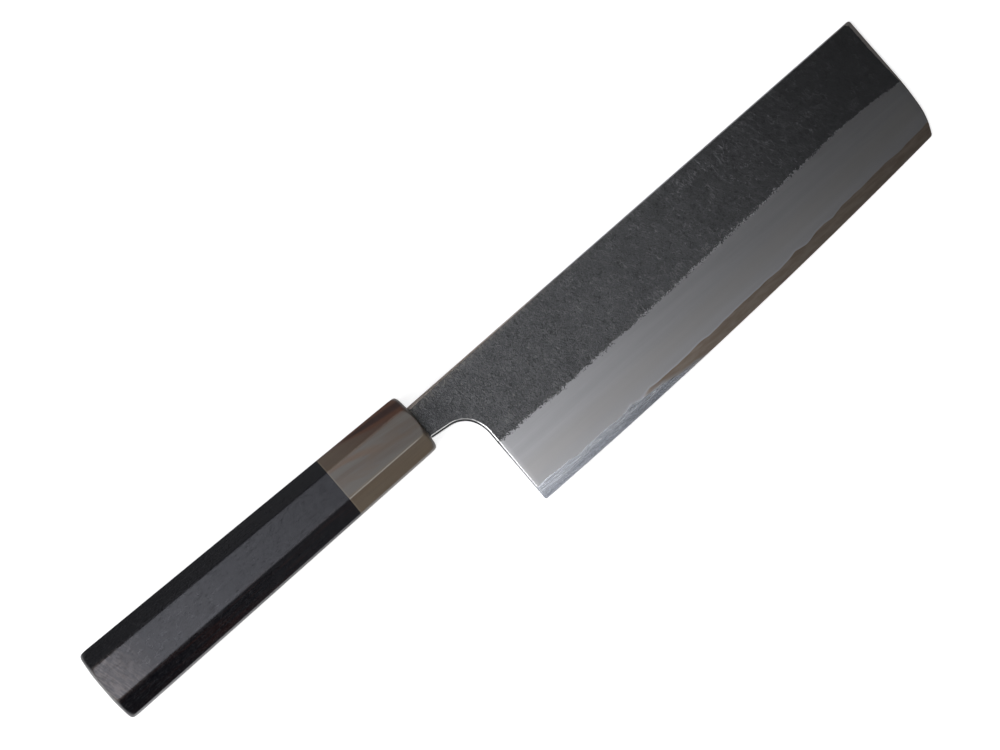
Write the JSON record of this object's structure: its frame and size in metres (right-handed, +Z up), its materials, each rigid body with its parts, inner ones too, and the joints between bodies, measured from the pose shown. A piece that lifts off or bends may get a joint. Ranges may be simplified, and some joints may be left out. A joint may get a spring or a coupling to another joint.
{
  "type": "nakiri knife",
  "caption": "Straight-edged Japanese vegetable knife: three-layer forged blade with dark scale above a polished bevel, horn ferrule and octagonal ebony handle.",
  "frame": {"origin": "middle of the knife's footprint as it lies on its side, at the level of its lowest point, the back corner of the butt", "axes": "+X along the knife from the butt to the blade's end, +Y from the cutting edge towards the spine, +Z up out of the blade's front side"},
  "size_m": [0.3132, 0.0578, 0.0225],
  "materials": {
    "core_steel": "ground and honed carbon steel, bright at the cutting edge",
    "forged_iron": "dark forge scale above, ground and satin polished bevel below",
    "horn": "polished buffalo horn, grey-brown with darker streaks",
    "ebony": "oiled and buffed ebony with faint reddish streaks",
    "dowel_wood": "plain turned softwood",
    "resin": "dark set resin"
  },
  "bodies": {
    "root": {"core_steel": "core_steel", "front_cladding": "forged_iron", "back_cladding": "forged_iron", "horn_ferrule": "horn", "ebony_handle": "ebony", "tenon_dowel": "dowel_wood", "tang_bedding": "resin"}
  },
  "joints": []
}
